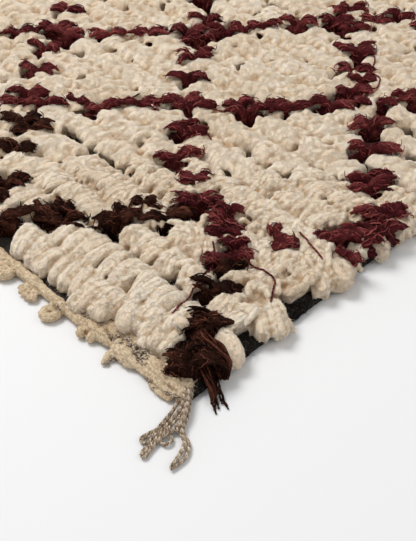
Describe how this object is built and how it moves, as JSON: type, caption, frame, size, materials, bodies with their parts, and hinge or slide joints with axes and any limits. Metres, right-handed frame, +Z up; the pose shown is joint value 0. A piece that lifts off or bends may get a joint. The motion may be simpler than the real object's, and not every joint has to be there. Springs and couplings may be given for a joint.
{
  "type": "azilal rug",
  "caption": "Hand-knotted wool rug lying flat: deep cream pile with a diamond lattice, bound sides, knotted warp ends and corner tassels.",
  "frame": {"origin": "middle of the rug's underside, on the floor", "axes": "+X across the rug, along its weft; +Y along its warp, the long way; +Z up out of the pile"},
  "size_m": [1.087, 1.6352, 0.03],
  "materials": {
    "cream_wool": "thick undyed hand-spun wool, soft and dull",
    "burgundy_wool": "dyed wool in finer loose strands, dull",
    "brown_wool": "dark brown wool in finer loose strands, dull",
    "ground_weave": "woven wool ground seen between the knots and underneath",
    "goat_hair": "coarse dark goat-hair binding",
    "warp_yarn": "twisted beige warp yarn"
  },
  "bodies": {
    "root": {"pile_field": "cream_wool", "selvedge_left": "goat_hair", "selvedge_right": "goat_hair", "end_cord_front": "warp_yarn", "end_cord_back": "warp_yarn", "tassel_front_left": "warp_yarn", "tassel_front_right": "warp_yarn", "tassel_back_left": "warp_yarn", "tassel_back_right": "warp_yarn"}
  },
  "joints": []
}
